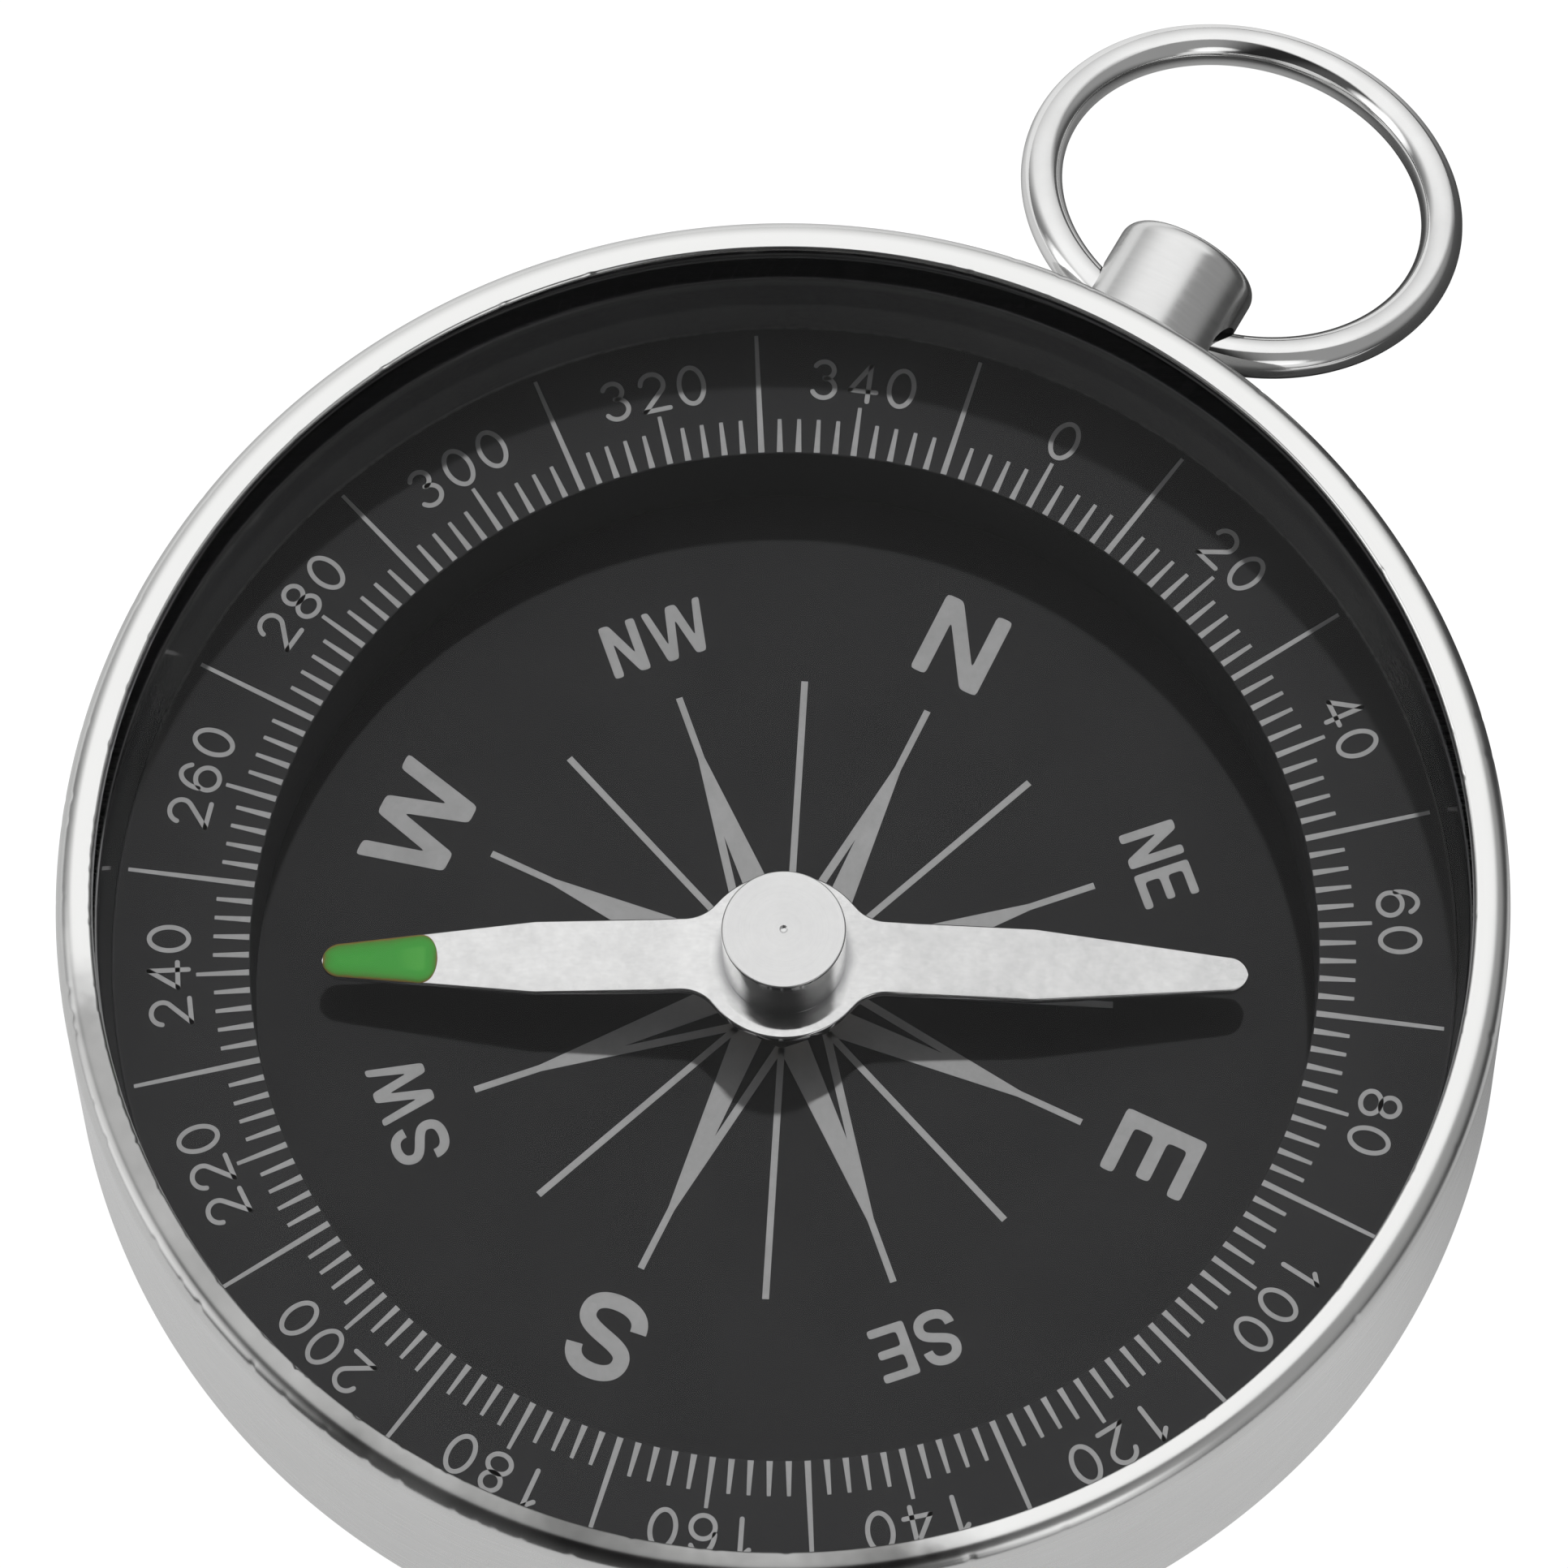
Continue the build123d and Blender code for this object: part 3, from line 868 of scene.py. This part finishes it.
def makeBlade(s):
    points, faces = [], []
    across, edgeShare = 5, 0.6
    upper, lower = ([radians(a) for a in angles] for angles in ((22, 45, 67, 90), (30, 60, 90)))
    stations = bladeStations(s)
    for x in stations:
        half, top = bladeHalf(x, s), bladeTop(x, s)
        edge = min(s["edge"], half * edgeShare)
        flat = half - edge
        loop = [(flat * k / across, 0) for k in range(-across, across + 1)]
        loop += [(flat + edge * sin(a), edge * (cos(a) - 1)) for a in upper]
        loop.append((half, edge - s["sheet"]))
        loop += [(flat + edge * cos(a), edge * (1 - sin(a)) - s["sheet"]) for a in lower]
        loop += [(-y, z) for y, z in reversed(loop[2 * across + 1:])]
        points += [onBlade(x, y, top + z, s) for y, z in loop]
    rows = len(stations)
    ring = len(points) // rows
    for r in range(rows - 1):
        for k in range(ring):
            n = (k + 1) % ring
            faces.append([r * ring + k, r * ring + n, (r + 1) * ring + n, (r + 1) * ring + k])
    faces += [list(range(ring)), [(rows - 1) * ring + k for k in range(ring)]]
    mesh = settle(meshFrom("needleBlade", points, faces))
    bore = settle(rodMesh("bore", s["bore"], 2, 5, s["boreSides"]))
    return setPiece("needleBlade", settle(cutBy(mesh, bore), 40), satinNeedle)


enamel = {"inner": -10.68, "innerRound": 0.62, "innerPower": 2.4, "inset": 0.03, "thick": 0.03, "skin": 0.004,
          "sink": 0.02, "bead": 0.18, "edgeBand": 0.45, "rows": 48, "columns": 16}


def makeEnamel(s, b):
    # a low bead of paint over the blade's end, rounded at its inner end and closed below, inside the strip
    points, under, faces, shares = [], [], [], []
    outer = -b["reach"] + s["inset"]
    for row in range(s["rows"] + 1):
        x = outer + (s["inner"] - outer) * (1 - cos(pi * row / s["rows"])) / 2
        strip, top = bladeHalf(x, b), bladeTop(x, b)
        half = max(strip - s["inset"], 0.0)
        toInner, toOuter = s["inner"] - x, x - outer
        if toInner < s["innerRound"]:
            half *= sqrt(max(1 - (1 - toInner / s["innerRound"]) ** s["innerPower"], 0))
        for k in range(s["columns"] + 1):
            v = sin(pi * (k / s["columns"] - 0.5))
            fromSide = half * (1 - abs(v))
            lift = s["thick"] * (1 - (1 - min(fromSide / s["bead"], 1)) ** 2) + s["skin"]
            # the paint follows the strip's rounded edge
            bank = min(abs(half * v) - (strip - b["edge"]), b["edge"])
            drop = b["edge"] - sqrt(max(b["edge"] ** 2 - bank ** 2, 0)) if bank > 0 else 0
            points.append(onBlade(x, half * v, top - drop + lift, b))
            under.append(onBlade(x, half * v, top - drop - s["sink"], b))
            shares.append(min(fromSide, toInner, toOuter) / s["edgeBand"])
    wide, low, last = s["columns"] + 1, len(points), s["rows"] * (s["columns"] + 1)
    for r in range(s["rows"]):
        for k in range(s["columns"]):
            quad = [r * wide + k, (r + 1) * wide + k, (r + 1) * wide + k + 1, r * wide + k + 1]
            faces += [quad, [low + n for n in reversed(quad)]]
    border = list(range(wide - 1)) + list(range(wide - 1, last + wide - 1, wide))
    border += list(range(last + wide - 1, last, -1)) + list(range(last, 0, -wide))
    faces += [[n, m, low + m, low + n] for n, m in zip(border, border[1:] + border[:1])]
    mesh = meshFrom("greenEnamel", points + under, faces)
    edge = mesh.attributes.new("fromEdge", "FLOAT", "POINT")
    edge.data.foreach_set("value", shares + [0.0] * low)
    return setPiece("greenTip", settle(mesh), greenEnamel)


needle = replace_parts(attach(makeBlade(blade), "needle"), "needle_blade")
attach(makeEnamel(enamel, blade), "needle")
print("needle:", len(needle.data.polygons), "faces")


# Hub cap on the needle

hub = {"radius": 1.9, "foot": 3.45, "top": 5.85, "edge": 0.06, "spigot": 1.25, "spigotFoot": 3.05, "bore": 0.95,
       "cupTop": 5.2, "mark": 0.13, "markDeep": 0.08, "segments": 192}


def makeHub(s):
    bore, spigot, radius, foot, low, top = (s[k] for k in ("bore", "spigot", "radius", "foot", "spigotFoot", "top"))
    corners = [(0, s["cupTop"], 0), (bore, s["cupTop"], 0.03), (bore, low, 0.03), (spigot, low, 0.03),
               (spigot, foot, 0.02), (radius, foot, 0.04), (radius, top, s["edge"]), (s["mark"], top, 0.015),
               (0, top - s["markDeep"], 0)]
    return lathePiece("hubCap", corners, s["segments"], turnedHub)


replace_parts(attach(makeHub(hub), "needle"), "hub_cap")
print("hub cap set")


# Stem and lanyard ring

stem = {"radius": 2.3, "height": 4.9, "foot": 21.72, "end": 25.9, "endRound": 0.5, "hole": 1.0, "holeAt": 23.35,
        "drillReach": 3, "drillSides": 96, "segments": 160, "rowStep": 0.1, "rowsPast": 1.5}


def makeStem(s):
    outline = softProfile([(0, s["foot"], 0), (s["radius"], s["foot"], 0), (s["radius"], s["end"], s["endRound"]),
                           (0, s["end"], 0)])
    # close rows on the side give the hole a clean edge
    rows = []
    for a, b in zip(outline, outline[1:]):
        fine = min(a.x, b.x) > s["rowsPast"]
        steps = max(1, round((b - a).length / s["rowStep"])) if fine else 1
        rows += [a.lerp(b, k / steps) for k in range(steps)]
    mesh = latheMesh("stem", rows + [outline[-1]], s["segments"])
    mesh.transform(Matrix.Translation((0, 0, s["height"] * mm)) @ Matrix.Rotation(radians(-90), 4, "X"))
    drill = rodMesh("drill", s["hole"], -s["drillReach"], s["drillReach"], s["drillSides"])
    place = Matrix.Translation((0, s["holeAt"] * mm, s["height"] * mm))
    drill.transform(place @ Matrix.Rotation(radians(90), 4, "Y"))
    return setPiece("ringStem", settle(cutBy(settle(mesh), settle(drill)), 40), satinStem)


wire = {"ringRadius": 6.4, "wireRadius": 0.65, "centre": (0.0, 29.1764, 2.8209), "slope": 19.6385, "around": 288,
        "across": 48}


def makeWire(s):
    angles = [2 * pi * k / s["across"] for k in range(s["across"])]
    outline = [Vector((s["ringRadius"] + s["wireRadius"] * cos(a), s["wireRadius"] * sin(a))) for a in angles]
    mesh = latheMesh("lanyardRing", outline, s["around"], True)
    mesh.transform(Matrix.Translation(Vector(s["centre"]) * mm) @ Matrix.Rotation(radians(-s["slope"]), 4, "X"))
    return setPiece("lanyardRing", settle(mesh), brightWire)


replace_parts(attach(makeStem(stem), "case"), "stem")
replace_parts(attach(makeWire(wire), "ring"), "lanyard_ring")
print("stem and ring set")


# Small turned parts that stay as they are in the frame

brassLow, brassHigh = (0.55, 0.38, 0.14), (0.72, 0.52, 0.22)
for node, low, high, roughness in (("pivot_bush", brassLow, brassHigh, 0.3),
                                   ("pivot_pin", (0.42, 0.42, 0.43), (0.56, 0.56, 0.57), 0.2),
                                   ("bearing_cup", brassLow, brassHigh, 0.18)):
    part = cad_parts[node]
    finish = turnedFinish(node.replace("_", "") + "Finish", low, high, roughness)
    for place in part.material_slots:
        place.material = finish


# Floor, light and camera

# one wide panel hangs behind, between two edges that meet overhead; the front is dark but for a few small lamps
# (azimuth, elevation, inner and outer angle, strength), and the table glows in patches round the case
studio = {"floorSize": 3.0, "floorDrop": 0.02, "floorTone": 0.08, "floorGlow": 1.0,
          "patches": [(0.63, [("stem", 0.02, -0.005)]),
                      (0.55, [("across", 0.013, 0.002), ("away", 0.008, 0.02)]),
                      (0.7, [("away", 0.026, 0.035), ("across", 0.028, 0.017)]),
                      (0.5, [("across", 0.024, 0.029), ("across", 0.050, 0.038), ("away", 0.010, 0.004)])],
          "keyAzimuth": 200.0, "keyElevation": 66.5, "keyStrength": 1.72, "keySpread": 2.0, "fill": 0.37,
          "facing": 31.0, "panel": 1.22, "panelFoot": 0.62, "panelRise": 0.75,
          "panelEdges": [(53, 0.15, -0.01), (16, 0.22, 0.02)], "panelEnds": [(-0.45, -0.9, 0.3), (0.55, 0.88, 0.1)],
          "dark": 0.025, "haze": [(-0.1, -0.45, 0.08), (0.1, 0.45, 0.34)], "hazeRise": (-0.2, 0.35), "backdrop": 0.93,
          "lamps": [(61, 34, 6, 14, 0.95), (61, 16, 6, 15, 0.6), (306, 28, 10, 26, 1.5), (301, 0, 8, 22, 0.5)]}


def makeFloor(s):
    tone = s["floorTone"]
    f = FinishWeb("paleFloor", (tone, tone, tone), 0.7)
    low, high = tone * 0.985, tone * 1.015
    shade = f.tinted(f.grain(30), (0.3, low, low), (0.7, high, high))
    # white to the camera, and a little bright in patches round the case for the metal to mirror
    seen = f.node("ShaderNodeLightPath").outputs["Is Camera Ray"]
    view = f.axes(-s["facing"])
    ways = {"stem": f.axes()["Y"], "across": view["X"], "away": view["Y"]}
    glow = f.times(seen, s["floorGlow"])
    for strength, edges in s["patches"]:
        patch = strength
        for way, outside, inside in edges:
            patch = f.times(patch, f.mask(ways[way], outside, inside))
        glow = f.larger(glow, patch)
    f.give(Base_Color=shade, Specular_IOR_Level=0.1, Emission_Color=(1, 1, 1, 1), Emission_Strength=glow)
    half, foot = s["floorSize"] / mm / 2, -s["floorDrop"]
    corners = [(x * half, y * half, foot) for x, y in ((-1, -1), (1, -1), (1, 1), (-1, 1))]
    return setPiece("floor", meshFrom("floor", corners, [(0, 1, 2, 3)]), f.material)


def skyDirection(azimuth, elevation):
    # where a light stands, with azimuth and elevation as for the camera
    a, e = radians(azimuth), radians(elevation)
    return Vector((sin(a) * cos(e), -cos(a) * cos(e), sin(e)))


def makeSurroundings(s):
    world = bpy.data.worlds.new("studio")
    scene.world = world
    world.use_nodes = True
    world.node_tree.nodes.clear()
    w = NodeWeb(world.node_tree)
    way = w.node("ShaderNodeTexCoord").outputs["Generated"]

    def along(direction):
        return w.node("ShaderNodeVectorMath", "DOT_PRODUCT", way, tuple(direction)).outputs["Value"]

    towards = skyDirection(s["facing"], 0)
    right, up = along((-towards.y, towards.x, 0)), along((0, 0, 1))
    panel = w.remap(up, 0, s["panelRise"], s["panelFoot"] * s["panel"], s["panel"])
    for azimuth, outside, inside in s["panelEdges"]:
        panel = w.times(panel, w.mask(along(skyDirection(azimuth, 0)), outside, inside))
    for start, end, left in s["panelEnds"]:
        panel = w.times(panel, w.remap(right, start, end, 1, left, soft=True))
    haze = w.larger(*(w.mask(right, *side) for side in s["haze"]))
    total = w.plus(w.times(haze, w.mask(up, *s["hazeRise"])), s["dark"])
    total = w.larger(total, panel)
    for azimuth, elevation, inner, outer, strength in s["lamps"]:
        rim, core = cos(radians(outer)), cos(radians(inner))
        total = w.plus(total, w.mask(along(skyDirection(azimuth, elevation)), rim, core, strength))
    # matt surfaces take less of the tent's light than the bright metals mirror
    rays = w.node("ShaderNodeLightPath").outputs
    total = w.times(total, w.remap(rays["Is Diffuse Ray"], 0, 1, 1, s["fill"]))
    glow = w.node("ShaderNodeBackground", Strength=total).outputs["Background"]
    white = s["backdrop"]
    plain = w.node("ShaderNodeBackground", Color=(white, white, white, 1)).outputs["Background"]
    mix = w.node("ShaderNodeMixShader", None, rays["Is Camera Ray"], glow, plain).outputs["Shader"]
    w.node("ShaderNodeOutputWorld", Surface=mix)


def makeKey(s):
    light = bpy.data.lights.new("keyLight", "SUN")
    light.energy = s["keyStrength"]
    light.angle = radians(s["keySpread"])
    lamp = bpy.data.objects.new("keyLight", light)
    scene.collection.objects.link(lamp)
    lamp.visible_glossy = False
    lamp.rotation_euler = skyDirection(s["keyAzimuth"], s["keyElevation"]).to_track_quat("Z", "Y").to_euler()


makeFloor(studio)
makeSurroundings(studio)
makeKey(studio)
scene.view_settings.view_transform = "Standard"

shot = {"azimuth": 31.0, "elevation": 69.612, "roll": -1.567, "distance": 371.05, "lens": 278.2, "sensor": 36,
        "slide": (-0.007, 5.05), "target": (0.0, 0.0, 4.05), "clip": (0.01, 20)}


def makeCamera(s):
    camera = bpy.data.cameras.new("camera")
    camera.lens = s["lens"]
    camera.sensor_width = s["sensor"]
    camera.clip_start, camera.clip_end = s["clip"]
    back = skyDirection(s["azimuth"], s["elevation"])
    a, roll = radians(s["azimuth"]), radians(s["roll"])
    right = Vector((cos(a), sin(a), 0))
    up = back.cross(right)
    right, up = right * cos(roll) + up * sin(roll), up * cos(roll) - right * sin(roll)
    spot = Vector(s["target"]) + back * s["distance"] + right * s["slide"][0] + up * s["slide"][1]
    holder = bpy.data.objects.new("camera", camera)
    scene.collection.objects.link(holder)
    turn = Matrix((right, up, back)).transposed().to_4x4()
    holder.matrix_world = Matrix.Translation(spot * mm) @ turn
    scene.camera = holder


makeCamera(shot)
print("studio set")
